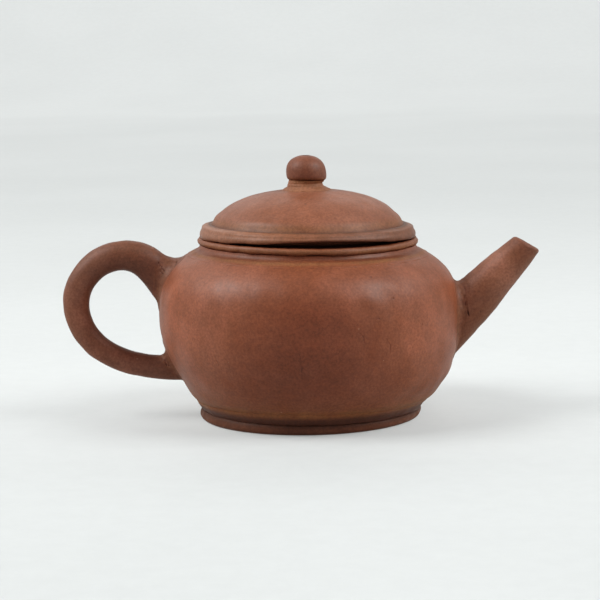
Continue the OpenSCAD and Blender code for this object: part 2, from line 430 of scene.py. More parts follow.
def make_base_disc(material):
    inner = INNER_LINE[0]
    parts = [
        [(0, FOOT_H - 0.05), (FOOT_R - 1.6, FOOT_H - 0.05)],
        bezier(
            (FOOT_R - 0.4, FOOT_H - 0.4),
            (FOOT_R + 0.2, FOOT_H + 0.2),
            (EDGE_R - 0.7, BASE_EDGE_Z - 1.0),
            (EDGE_R - 0.02, BASE_EDGE_Z - 0.25),
            14,
        ),
        arc((EDGE_R - 0.24, BASE_EDGE_Z + 0.1), 0.34, -40, 25, 4),
        [WALL_LINE[4] - (0.04, 0), inner + (1.0, 0.1)],
        [inner, (inner[0] - 2, FOOT_H + BASE_T + 0.2), (0, FOOT_H + BASE_T)],
    ]
    line = rounded(parts, 0.2, 2, closed=False)
    p, faces, n = turned(line, TURN, closed=False)
    under = smooth_step(-n[:, 2], 0.5, 0.9) * smooth_step(-p[:, 2], -FOOT_H - 0.6, -FOOT_H)
    scrape = two_waves(p, 31, (8, 0.05), (2.5, 0.03))
    rim = smooth_step(off_axis(p), FOOT_R - 0.6, FOOT_R + 0.6)
    p = pushed(p, n, scrape * (0.4 + 0.6 * under) + fuller_foot(p) * rim)
    # Painted shade on the downward-facing slope into the groove over the foot ring, through the
    # inside mask
    shown = smooth_step(off_axis(p), FOOT_R - 1.2, FOOT_R - 0.6)
    groove = (1 - smooth_step(p[:, 2], FOOT_H + 0.9, FOOT_H + 2.4)) * shown
    inside = smooth_step(n[:, 2], 0.3, 0.7) + 0.3 * under * (1 - shown) + groove
    patina = base_patina(p)
    p = settle(trim(p))
    finish_piece(p, faces, "base_disc", "pot", material, patina, inside)


def base_patina(p):
    """Brown that gathered round the foot, and thins out up the wall."""
    return bumps(p[:, 2], (BASE_EDGE_Z, 1, 1), (BASE_EDGE_Z, 4, 0.35))


def make_body_wall(material):
    line = rounded([WALL_LINE, INNER_LINE[::-1]], 0.5, 1)
    p, faces, n = turned(line, 400)
    radius = off_axis(p)
    inner = smooth_step(wall_radius(p[:, 2]) - radius, 0.6, 2.0)
    p = pushed(p, n, wall_dents(p) * (1 - inner) + 0.12 * waves(p, 12, 13) * inner)
    patina = shoulder_patina(p) + base_patina(p)
    obj = finish_piece(settle(p), faces, "body_wall", "pot", material, patina, inner)
    carve(obj, [[on_wall(*place) for place in mark] for mark in BELLY_MARKS], 0.13, 0.06, 0.35)
    carve(obj, [[on_wall(*place)] for place in BELLY_PITS], 0.17, 0.1, 0.6)
    drill_strainer(obj)


# Fine creases and pits in the belly, as (degrees round the pot, height)
BELLY_MARKS = [
    [(-94, 21.4), (-93.7, 18.5), (-94.4, 15.2)],
    [(-106.4, 12.4), (-106.6, 10.5)],
    [(-105.7, 9.4), (-105.2, 7.9)],
    [(-119, 9.3), (-120, 7.2)],
    [(-128, 20.2), (-127.2, 17.8)],
    [(-72, 26), (-70.5, 25.2), (-70, 23.6)],
    [(-61, 24), (-59.5, 22.4), (-59.8, 20.9)],
    [(64, 18), (65, 14.5)],
    [(110, 12.5), (109.4, 9.5)],
    [(150, 27), (147, 25.8)],
]
BELLY_PITS = [
    (-136, 30.2),
    (-69, 8.5),
    (-44, 26.5),
    (-64, 29),
    (-58, 21.6),
    (-139, 19.5),
    (-57, 33.5),
    (40, 22),
    (95, 28.5),
    (128, 17),
    (82, 33),
]


def on_wall(degrees, z):
    """A point on the body's outer face."""
    a = math.radians(degrees)
    r = wall_radius(z)
    return settle(np.array([[r * math.cos(a), r * math.sin(a), z]]))[0]


def stroke_distance(p, stroke):
    """How far points are from a line of points, or from a single one."""
    points = np.array(stroke, float)
    if len(points) == 1:
        return np.linalg.norm(p - points[0], axis=1)
    best = np.full(len(p), np.inf)
    for a, b in zip(points[:-1], points[1:]):
        t = np.clip((p - a) @ (b - a) / ((b - a) @ (b - a)), 0, 1)
        best = np.minimum(best, np.linalg.norm(p - a - t[:, None] * (b - a), axis=1))
    return best


def carve(obj, strokes, width, depth, tint=0.55):
    """Cuts short tool marks into a piece, with a finer mesh round each of them."""
    made = bmesh.new()
    made.from_mesh(obj.data)

    def distances():
        p = np.array([v.co for v in made.verts]) / MM
        return p, np.min([stroke_distance(p, stroke) for stroke in strokes], axis=0)

    _, near = distances()
    made.verts.ensure_lookup_table()
    finer = 3 * width + 0.4
    edges = [e for e in made.edges if all(near[v.index] < finer for v in e.verts)]
    bmesh.ops.subdivide_edges(made, edges=edges, cuts=3, use_grid_fill=True, smooth=1.0)
    made.normal_update()
    made.verts.index_update()
    p, near = distances()
    rough = np.clip(1 + 0.5 * waves(p, 1.2, 201), 0.2, 1.8)
    share = bump(near, 0, width) * rough
    # The cuts are darkened through the mark mask: painted shade in the cuts and pits
    mark = made.verts.layers.float["mark"]
    for v, amount in zip(made.verts, share):
        if amount > 0.01:
            v.co -= v.normal * (depth * amount * MM)
            v[mark] = min(v[mark] + amount * tint, 1)
    made.to_mesh(obj.data)
    made.free()
    obj.data.update()


def drill_strainer(obj):
    """Seven holes through the wall behind the spout, one in the middle and six round it."""
    hole_r, ring_r, sides = 0.8, 2.7, 24
    a = angles(sides)
    parts, faces = [], []
    for i in range(7):
        y, z = polar(0 if i == 0 else ring_r, 60 * i)
        z += SPOUT_ROOT[1]
        for x in (BELLY_R - 7, BELLY_R + 3):
            parts.append(np.c_[0 * a + x, y + hole_r * np.cos(a), z + hole_r * np.sin(a)])
        low = i * 2 * sides
        high = low + sides
        for k in range(sides):
            m = (k + 1) % sides
            faces.append((low + k, low + m, high + m, high + k))
        faces.append(tuple(low + k for k in reversed(range(sides))))
        faces.append(tuple(high + k for k in range(sides)))
    drill = mesh_object("drill", np.vstack(parts), faces)
    cut = obj.modifiers.new("holes", "BOOLEAN")
    cut.operation = "DIFFERENCE"
    cut.object = drill
    cut.solver = "EXACT"
    bake_modifiers(obj)
    bpy.data.objects.remove(drill)


def bake_modifiers(obj):
    """Turns what the modifiers make into the object's own mesh."""
    graph = bpy.context.evaluated_depsgraph_get()
    made = bpy.data.meshes.new_from_object(obj.evaluated_get(graph))
    obj.modifiers.clear()
    obj.data = made


def make_shoulder_disc(material):
    head = INNER_LINE[-1]
    under_z = head[1]
    outline = [(MOUTH_R, under_z), head, (SHOULDER_R, SHOULDER_Z), (MOUTH_R, SHOULDER_Z)]
    line = rounded([outline], 0.3, 2)
    p, faces, _ = turned(line, TURN)
    inside = smooth_step(-p[:, 2], -under_z - 0.8, -under_z) + bump(off_axis(p), MOUTH_R, 0.5)
    finish_piece(settle(p), faces, "shoulder_disc", "pot", material, inside=inside)


def mouth_dip(p):
    """The mouth sags a little at the front, towards the spout."""
    return -0.22 * bump(degrees_round(p), -68, 34)


def shoulder_patina(p):
    """The olive line that runs round the foot of the neck."""
    return bump(off_axis(p), SHOULDER_R + 0.25, 0.65) * (p[:, 2] > SHOULDER_Z - 2)


def make_neck_band(material):
    start = UPPER[-5]
    cove = NECK_TOP - SHOULDER_Z - 0.3
    parts = [
        [(MOUTH_R, SHOULDER_Z - 0.05), (start[0] - 1.5, SHOULDER_Z - 0.3)],
        [start + (0.04, -0.04), start + (-0.2, 0.26), start + (-0.6, 0.38)],
        arc((SHOULDER_R + 0.05, NECK_TOP), cove, 258, 180, 12),
        [(MOUTH_R, NECK_TOP)],
    ]
    line = rounded(parts, 0.18, 2)
    p, faces, n = turned(line, TURN)
    p = pushed(p, n, 0.03 * waves(p, 6, 41) * smooth_step(off_axis(p), 25, 26))
    p[:, 2] += mouth_dip(p) * smooth_step(p[:, 2], SHOULDER_Z, NECK_TOP)
    radius = off_axis(p)
    outer = smooth_step(radius, 25.5, 26.5)
    # The mouth's inner edge, and painted shade in the cove under the mouth ring
    inside = bump(radius, MOUTH_R, 0.5) + 0.42 * bump(p[:, 2], NECK_TOP - 1.2, 0.6) * outer
    patina = shoulder_patina(p)
    finish_piece(settle(p), faces, "neck_band", "pot", material, patina, inside)


def make_mouth_ring(material):
    bead = (SEAT_Z - NECK_TOP) / 2
    parts = [
        [(MOUTH_R, NECK_TOP)],
        arc((BEAD_R - bead, NECK_TOP + bead), bead, -90, 90, 12),
        [(MOUTH_R, SEAT_Z)],
    ]
    line = rounded(parts, 0.16, 2)
    p, faces, n = turned(line, TURN)
    radius = off_axis(p)
    outer = smooth_step(radius, 25.5, 26.5)
    p = pushed(p, n, two_waves(p, 51, (7, 0.05), (2.2, 0.02)) * outer)
    p[:, 2] = np.minimum(p[:, 2], SEAT_Z) + mouth_dip(p)
    patina = 0.5 * bump(p[:, 2], NECK_TOP + 0.2, 0.9) * outer
    # The inner edge, and a little painted shade where the bead meets the neck
    inside = bump(radius, MOUTH_R, 0.6) + 0.1 * bump(p[:, 2], NECK_TOP, 0.5) * outer
    finish_piece(settle(p), faces, "mouth_ring", "pot", material, patina, inside)


# ------------ lid
def rim_lift(p):
    """The lid's rim is warped: its lower edge rises off the mouth at the front."""
    return bumps(degrees_round(p), (-80, 39, 1.15), (100, 40, 0.12))


def lid_tilt(p):
    """The rim follows the mouth's slope, and the dome stands a little straighter on it."""
    return 1 - 0.65 * smooth_step(p[:, 2], 49, 54)


def make_lid_rim(material):
    foot_r = RIM_R - 0.33
    inner_r = FLANGE_R - FLANGE_T
    parts = [
        [(foot_r - 0.15, SEAT_Z)],
        bezier(
            (foot_r, SEAT_Z),
            (RIM_R + 0.72, SEAT_Z + 0.7),
            (RIM_R - 0.88, RIM_TOP - 0.6),
            (DOME_R + 0.1, RIM_TOP),
            24,
        ),
        [(DOME_R - 0.2, RIM_TOP - 0.1), (DOME_R - 2.2, RIM_TOP - 0.2)],
        [(inner_r, SEAT_Z + 1.4), (inner_r, SEAT_Z)],
    ]
    line = rounded(parts, 0.2, 2)
    line[:, 1] = np.maximum(line[:, 1], SEAT_Z)
    p, faces, n = turned(line, 288)
    radius = off_axis(p)
    outer = smooth_step(radius, 24.6, 25.6)
    uneven = two_waves(p, 61, (12, 0.06), (4, 0.015)) + 0.1
    # It stands out in a bead below its top edge, and is drawn in under that at the front
    bead = 0.32 * bump(p[:, 2], RIM_TOP - 0.95, 0.36)
    under = 1 - smooth_step(p[:, 2], SEAT_Z, RIM_TOP - 1.3)
    bead -= 0.4 * under * bump(degrees_round(p), -90, 65)
    p = pushed(p, n, (uneven + bead) * outer)
    low = 1 - smooth_step(p[:, 2], SEAT_Z, RIM_TOP - 0.5)
    p[:, 2] = np.maximum(p[:, 2], SEAT_Z)
    p[:, 2] += rim_lift(p) * low * smooth_step(radius, 22.8, 24.5)
    # Dark where it meets the dome and, inside, the mouth; painted shade on its lower outer face;
    # and painted darker towards the spout, so that the handle's side keeps a paler, pinker
    # tone that is partly dust and partly a painted sheen
    joint = bump(radius, DOME_R, 0.5) * smooth_step(p[:, 2], RIM_TOP - 1.2, RIM_TOP)
    inside = smooth_step(-radius, -FLANGE_R - 1.5, -FLANGE_R) + joint + 0.4 * under * outer
    # Painted darker towards the spout, through the inside and dark masks
    inside += 0.42 * smooth_step(p[:, 0], -10, 12)
    spout_side_darkening = 0.7 * smooth_step(p[:, 0], -14, 8)
    p = settle(p, 1)
    finish_piece(p, faces, "lid_rim", "lid", material, 0.4 * joint, inside, spout_side_darkening)


DOME_LINE = bezier(
    (DOME_R - 0.3, RIM_TOP),
    (DOME_R - 3.0, RIM_TOP + 4.3),
    (15, STEM_Z + 0.1),
    (0, STEM_Z + 0.1),
    80,
)


def make_lid_dome(material):
    under = inset(DOME_LINE, DOME_T)
    outer = DOME_LINE[DOME_LINE[:, 0] > VENT_R]
    inner = under[under[:, 0] > VENT_R]
    parts = [
        [(DOME_R - 0.6, RIM_TOP - 0.7), (DOME_R - 0.15, RIM_TOP - 0.5)],
        outer[1:],
        [(VENT_R, outer[-1][1]), (VENT_R, inner[-1][1])],
        inner[::-1],
    ]
    line = rounded(parts, 0.35, 1)
    p, faces, n = turned(line, TURN)
    radius = off_axis(p)
    above = smooth_step(n[:, 2], -0.2, 0.2)
    uneven = two_waves(p, 71, (17, 0.02), (6, 0.015))
    ridge = bumps(radius, (21.4, 0.8, -0.05), (22.6, 0.6, 0.07), (23.8, 0.5, -0.18))
    p = pushed(p, n, (uneven * smooth_step(radius, 5, 8) + ridge) * above)
    patina = bumps(radius, (6.2, 0.7, 0.5), (23.7, 0.8, 0.5)) * above
    joint = bump(radius, DOME_R, 0.5) * above
    inside = 1 - above + joint
    p = settle(p, lid_tilt(p))
    finish_piece(p, faces, "lid_dome", "lid", material, patina, inside, joint)


def make_lid_flange(material):
    inner_r = FLANGE_R - FLANGE_T
    edge = FLANGE_T / 2
    parts = [
        [(inner_r, SEAT_Z + 0.05)],
        arc((inner_r + edge, FLANGE_LOW + edge), edge, 180, 360, 12),
        [(FLANGE_R, SEAT_Z + 0.05)],
    ]
    line = rounded(parts, 0.3, 1)
    p, faces, n = turned(line, TURN)
    p = pushed(p, n, 0.05 * waves(p, 8, 81))
    stain = np.full(len(p), 0.7)
    finish_piece(settle(p, 1), faces, "lid_flange", "lid", material, inside=stain)


def knob_lean(p):
    """The knob was pressed on a little askew, and its stem pushed towards the handle."""
    out = p.copy()
    side = np.clip(p[:, 0] / KNOB_R, -1, 1)
    up = smooth_step(p[:, 2], KNOB_Z, KNOB_TOP)
    out[:, 0] -= 0.27 * up + 0.42 * bump(p[:, 2], KNOB_Z - 1.15, 0.9)
    low = (1 - up) * smooth_step(p[:, 2], KNOB_Z - 1.2, KNOB_Z)
    out[:, 2] -= 0.35 * low * np.maximum(side + 0.1, 0)
    return out


def make_knob_stem(material):
    waist_r = 4.3
    parts = [
        [(VENT_R, STEM_Z - 0.3), (waist_r + 1.7, STEM_Z - 0.3), (waist_r + 1.65, STEM_Z)],
        bezier(
            (waist_r + 1.5, STEM_Z + 0.12),
            (waist_r + 0.2, STEM_Z + 0.5),
            (waist_r - 0.4, KNOB_Z - 1),
            (waist_r + 0.15, KNOB_Z),
            14,
        ),
        [(VENT_R, KNOB_Z)],
    ]
    line = rounded(parts, 0.15, 2)
    p, faces, n = turned(line, 128)
    rings = 0.05 * np.sin(p[:, 2] * 7.5 + 0.6 * waves(p, 6, 91))
    away = smooth_step(off_axis(p), 3, 4)
    p = pushed(p, n, (rings + 0.06 * waves(p, 4, 92)) * away)
    patina = 0.35 + 0.4 * bump(p[:, 2], KNOB_Z, 0.5)
    vent = bump(off_axis(p), VENT_R, 0.4)
    p = settle(knob_lean(p), lid_tilt(p))
    finish_piece(p, faces, "knob_stem", "lid", material, patina, vent)


def make_knob(material):
    widest = KNOB_Z + 1.55
    a = np.radians(np.linspace(2, 88, 24))
    power = 0.87
    crown = np.c_[KNOB_R * np.cos(a) ** power, widest + (KNOB_TOP - widest) * np.sin(a) ** power]
    parts = [
        [(VENT_R, KNOB_Z)],
        bezier(
            (4.4, KNOB_Z + 0.02),
            (KNOB_R, KNOB_Z + 0.05),
            (KNOB_R, widest - 0.5),
            (KNOB_R, widest),
            10,
        ),
        crown[crown[:, 0] > VENT_R + 0.3],
        [(VENT_R + 0.15, KNOB_TOP), (VENT_R, KNOB_TOP - 0.25)],
    ]
    line = rounded(parts, 0.15, 2)
    line[:, 1] = np.minimum(line[:, 1], KNOB_TOP)
    p, faces, n = turned(line, 160)
    away = smooth_step(off_axis(p), 1.2, 3)
    p = pushed(p, n, two_waves(p, 101, (11, 0.04), (3, 0.012)) * away)
    patina = bump(p[:, 2], KNOB_Z, 0.5)
    vent = bump(off_axis(p), VENT_R, 0.3)
    p = settle(knob_lean(p), lid_tilt(p))
    finish_piece(p, faces, "knob", "lid", material, patina, vent)


# ------------ spout
SPOUT_LEAN = 45.4
SPOUT_ROOT = np.array([37.15, 24.75])
SPOUT_LEN = 24.7
SPOUT_BORE_R = 2.2
SPOUT_THROAT_R = 4.3
SPOUT_CUT_SLOPE = 0.242
SINK = 0.9


def spout_radius(s):
    """Outer radius at a distance along the spout from its root."""
    line = bezier((6.3, -12), (6.35, 2), (5.75, 9.5), (3.1, 27.2), 40)
    return np.interp(s, line[:, 1], line[:, 0])


def bore_radius(s):
    """Inner radius at the same distance."""
    places = [-2, 0, SPOUT_LEN - 10, SPOUT_LEN]
    return np.interp(s, places, [4.5, SPOUT_THROAT_R, 2.25, SPOUT_BORE_R])


def spout_point(s, radius, angle):
    """A point round the spout: angle 0 is its upper side."""
    up = radius * np.cos(angle) - 0.15 - 0.2 * bump(s, 7, 5)
    along = s - SPOUT_CUT_SLOPE * up * smooth_step(s, SPOUT_LEN - 11, SPOUT_LEN - 1)
    c, q = math.cos(math.radians(SPOUT_LEAN)), math.sin(math.radians(SPOUT_LEAN))
    return np.stack(
        [
            SPOUT_ROOT[0] + along * c - up * q,
            radius * np.sin(angle),
            SPOUT_ROOT[1] + along * q + up * c,
        ],
        -1,
    )


def where_meets(point_at, low, high, depth):
    """For each column, the distance along a tube where it reaches a depth in the body."""
    for _ in range(40):
        middle = (low + high) / 2
        out = outside_wall(point_at(middle)) > depth
        high = np.where(out, middle, high)
        low = np.where(out, low, middle)
    return (low + high) / 2


# Slits left by the modelling tool where the spout, and the handle, was pressed on
SPOUT_MARKS = [
    [(38.6, -3.8, 32.0), (38.9, -5.4, 29.3), (38.5, -5.8, 27.8)],
    [(39.0, -6.0, 26.8), (39.4, -5.9, 25.1)],
    [(38.8, 4.6, 30.8), (38.8, 5.8, 27.4)],
    [(39.0, 6.0, 24.2), (38.6, 5.9, 22.0)],
]
HANDLE_MARKS = [
    [(-37.1, -3.5, 39.6), (-36.7, -3.9, 38.8)],
    [(-36.3, -4.0, 38.6), (-36.0, -4.3, 38.1), (-35.5, -4.7, 37.2)],
    [(-36.6, -4.4, 37.6), (-36.0, -4.7, 36.9)],
    [(-32.5, -2.8, 39.9), (-32.7, -4.2, 39.5), (-32.9, -5.6, 38.8)],
    [(-35.9, 4.3, 38.4), (-35.4, 4.6, 37.2)],
    [(-33.0, 3.0, 39.7), (-33.2, 5.2, 38.9)],
    [(-36.3, -2.2, 15.0), (-35.9, -2.9, 13.6)],
    [(-35.5, -2.7, 14.5), (-35.3, -3.0, 13.6)],
    [(-36.6, 2.0, 15.0), (-36.4, 2.9, 13.8)],
]


def make_spout(material):
    columns = 128
    a = angles(columns)
    outer_end = where_meets(lambda s: spout_point(s, spout_radius(s), a), -11, 14, -SINK)
    bore_end = where_meets(lambda s: spout_point(s, bore_radius(s), a), -11, 14, -SINK)
    lip, edge = 0.85, 0.35
    rows = []
    for t in np.linspace(0, 1, 90):
        s = outer_end + (SPOUT_LEN - lip - outer_end) * t
        rows.append(spout_point(s, spout_radius(s), a))
    for t in np.radians(np.linspace(0, 90, 8)[1:]):
        s = SPOUT_LEN - lip + lip * math.sin(t)
        rows.append(spout_point(s, spout_radius(SPOUT_LEN - lip) - lip * (1 - math.cos(t)), a))
    outer_rows = len(rows)
    for t in np.radians(np.linspace(0, 90, 6)):
        s = SPOUT_LEN - edge * (1 - math.cos(t))
        rows.append(spout_point(s, SPOUT_BORE_R + edge * (1 - math.sin(t)), a))
    edge_rows = len(rows)
    for t in np.linspace(0, 1, 60)[1:]:
        s = SPOUT_LEN - edge + (bore_end - SPOUT_LEN + edge) * t
        rows.append(spout_point(s, bore_radius(s), a))
    p = np.vstack(rows)
    faces = [f[::-1] for f in grid_faces(len(rows), columns, True)]
    n = normals(p, faces)
    row = np.repeat(np.arange(len(rows)), columns)
    uneven = two_waves(p, 111, (13, 0.05), (4, 0.02)) * (row < outer_rows)
    p = pushed(p, n, uneven * smooth_step(outside_wall(p), 2.0, 5.0))
    inside = (row > edge_rows) * 1.0
    tip = bump(np.linalg.norm(p - SPOUT_CORNER, axis=1), 0, 4)
    patina = 0.3 * tip * (row < outer_rows)
    obj = finish_piece(p, faces, "spout", "pot", material, patina, inside)
    carve(obj, SPOUT_MARKS, 0.16, 0.15, 0.7)


# ------------ handle
HANDLE_TOP = np.array([-46.0, 41.2])
HANDLE_REACH = -58.2
HANDLE_MID_Z = 29.3
HANDLE_LOW_Z = 12.6
HANDLE_RISE = 128


def handle_line():
    """Centre line from inside the shoulder, over the top and back into the lower wall."""
    root = np.array([-35.5, 34.0])
    way = polar(1, HANDLE_RISE)
    out = bezier(root, root + 4 * way, HANDLE_TOP + (5.5, 0), HANDLE_TOP, 60)
    over = bezier(
        HANDLE_TOP,
        HANDLE_TOP - (6.9, 0),
        (HANDLE_REACH, HANDLE_MID_Z + 5.7),
        (HANDLE_REACH, HANDLE_MID_Z),
        60,
    )
    back = bezier(
        (HANDLE_REACH, HANDLE_MID_Z),
        (HANDLE_REACH, HANDLE_MID_Z - 9),
        (-50, HANDLE_LOW_Z),
        (-34, HANDLE_LOW_Z),
        100,
    )
    loop = np.vstack([out, over[1:], back[1:]])
    return np.vstack([root - 6 * way, loop, [-28, HANDLE_LOW_Z]])


HANDLE_LINE = handle_line()
HANDLE_RUN = np.r_[0, np.cumsum(np.linalg.norm(np.diff(HANDLE_LINE, axis=0), axis=1))]
HANDLE_LEN = HANDLE_RUN[-1]


def along_handle(s):
    """Centre point and direction at a distance along the handle."""
    at = lambda q: np.stack([np.interp(q, HANDLE_RUN, HANDLE_LINE[:, k]) for k in (0, 1)], -1)
    step = 0.8
    way = at(np.clip(s + step, 0, HANDLE_LEN)) - at(np.clip(s - step, 0, HANDLE_LEN))
    way /= np.linalg.norm(way, axis=-1, keepdims=True)
    return at(s), way


def handle_half(s):
    """Half the handle's thickness at a distance along it."""
    u = np.clip((s - 6) / (HANDLE_LEN - 12), 0, 1)
    line = bezier((0, 4.6), (0.2, 3.75), (0.3, 3.45), (0.45, 3.33), 20)
    rest = bezier((0.45, 3.33), (0.65, 3.15), (0.8, 2.8), (1, 3.12), 20)
    line = np.vstack([line, rest[1:]])
    return np.interp(u, line[:, 0], line[:, 1])


def handle_point(s, grow, angle):
    """A point round the handle: angle 0 is the outside of the loop."""
    centre, way = along_handle(s)
    squareness = 0.93
    c, q = np.cos(angle), np.sin(angle)
    c = np.sign(c) * np.abs(c) ** squareness
    q = np.sign(q) * np.abs(q) ** squareness
    half = handle_half(s) + grow
    x = centre[..., 0] + way[..., 1] * half * c
    z = centre[..., 1] - way[..., 0] * half * c
    return np.stack([x, half * 0.96 * q, z], -1)


def make_handle(material):
    columns = 72
    a = angles(columns)
    first = where_meets(lambda s: handle_point(s, 0, a), 0, 18, -SINK)
    last = HANDLE_LEN - where_meets(lambda s: handle_point(HANDLE_LEN - s, 0, a), 0, 18, -SINK)
    rows = [handle_point(first + (last - first) * t, 0, a) for t in np.linspace(0, 1, 200)]
    p = np.vstack(rows + [rows[0].mean(0)[None], rows[-1].mean(0)[None]])
    faces = grid_faces(len(rows), columns, False)
    cap_ends(faces, len(p) - 2, len(p) - 1, len(rows), columns)
    n = normals(p, faces)
    if (n[:columns] * (rows[0] - rows[0].mean(0))).sum() < 0:
        faces = [f[::-1] for f in faces]
        n = -n
    uneven = two_waves(p, 121, (15, 0.07), (5, 0.025))
    p = pushed(p, n, uneven * smooth_step(outside_wall(p), 3.0, 7.0))
    # Painted shade: the inside of the loop is darkened through the dark mask
    inner_side = np.maximum(-np.cos(np.r_[np.tile(a, len(rows)), 0, 0]), 0)
    shade = 0.9 * inner_side
    obj = finish_piece(p, faces, "handle", "pot", material, shade=shade)
    carve(obj, HANDLE_MARKS, 0.15, 0.12)


# ------------ joining clay
def to_wall(p):
    """Points moved along the radius onto the body's outer face."""
    for _ in range(6):
        z = level_height(p)
        slope = (wall_radius(z + 0.1) - wall_radius(z - 0.1)) / 0.2
        radial = np.c_[p[:, 0] - drift(z), p[:, 1]]
        radial /= np.linalg.norm(radial, axis=1)[:, None]
        n = np.c_[radial, -slope] / np.sqrt(1 + slope**2)[:, None]
        p = p - n * (outside_wall(p) / np.sqrt(1 + slope**2))[:, None]
    return p, n


def collar(node, material, tube, up_tube, out_body, seed):
    """Clay pressed into the corner between a tube and the body.

    tube(s, angle, grow) is a point round the tube with s growing away from the
    body. up_tube and out_body say how far the clay reaches along each, by angle.
    """
    columns, lip = 160, 0.02
    a = angles(columns)
    base = where_meets(lambda s: tube(s, a, 0), -8, 14, 0)
    corner = tube(base, a, 0)
    ragged = two_waves(corner, seed, (2.2, 0.1), (6, 0.2))
    height = np.maximum(up_tube(a) + ragged, 0.3)
    spread = np.maximum(out_body(a) + 0.5 * ragged, 0.3)
    centre = corner.mean(0)
    _, n = to_wall(corner)
    away = corner - centre
    away -= n * (away * n).sum(1)[:, None]
    away /= np.linalg.norm(away, axis=1)[:, None]
    foot, n_foot = to_wall(corner + away * spread[:, None])
    edge = base + height
    rows = [tube(edge, a, -0.5), tube(edge + 0.15, a, -0.06), tube(edge, a, lip)]
    start, last = tube(edge - 0.25, a, lip), foot + lip * n_foot
    for t in np.linspace(0, 1, 22):
        rows.append((1 - t) ** 2 * start + 2 * (1 - t) * t * corner + t * t * last)
    rows.append(foot + away * 0.25 - 0.15 * n_foot)
    rows.append(foot - 0.9 * n_foot)
    rows.append(corner - 0.9 * n - 0.4 * away)
    p = np.vstack(rows)
    faces = grid_faces(len(rows), columns, True)
    nn = normals(p, faces)
    middle = slice(10 * columns, 11 * columns)
    if (nn[middle] * (p[middle] - centre)).sum() < 0:
        faces = [f[::-1] for f in faces]
        nn = -nn
    row = np.repeat(np.arange(len(rows)), columns)
    shown = smooth_step(row, 2, 6) * (1 - smooth_step(row, 21, 25))
    marks = two_waves(p, seed + 2, (3.2, 0.035), (1.2, 0.02))
    p = pushed(p, nn, marks * shown)
    patina = 0.08 + 0.1 * waves(p, 3, seed + 4)
    obj = finish_piece(p, faces, node, "pot", material, patina)
    carve(obj, SPOUT_MARKS + HANDLE_MARKS, 0.15, 0.12)


def make_spout_fillet(material):
    tube = lambda s, a, grow: spout_point(s, spout_radius(s) + grow, a)
    up_tube = lambda a: 0.7 + 2.6 * np.abs(np.sin(a)) ** 1.5 + 2.8 * np.maximum(np.cos(a), 0)
    out_body = lambda a: 0.7 + 1.4 * np.abs(np.sin(a)) + 2.1 * np.maximum(np.cos(a), 0)
    collar("spout_fillet", material, tube, up_tube, out_body, 131)


def make_handle_fillets(material):
    upper = lambda s, a, grow: handle_point(s + 8, grow, a)
    up_tube = lambda a: 2.5 + 2.9 * np.maximum(np.cos(a), 0) + 0.5 * np.abs(np.sin(a))
    out_body = lambda a: 2.1 + 1.2 * np.cos(a) + np.abs(np.cos(a)) + 0.3 * np.abs(np.sin(a))
    collar("handle_upper_fillet", material, upper, up_tube, out_body, 141)
    lower = lambda s, a, grow: handle_point(HANDLE_LEN - 8 - s, grow, a)
    up_tube = lambda a: 2.3 - 1.1 * np.cos(a)
    out_body = lambda a: 2.5 - 2.0 * np.cos(a)
    collar("handle_lower_fillet", material, lower, up_tube, out_body, 151)


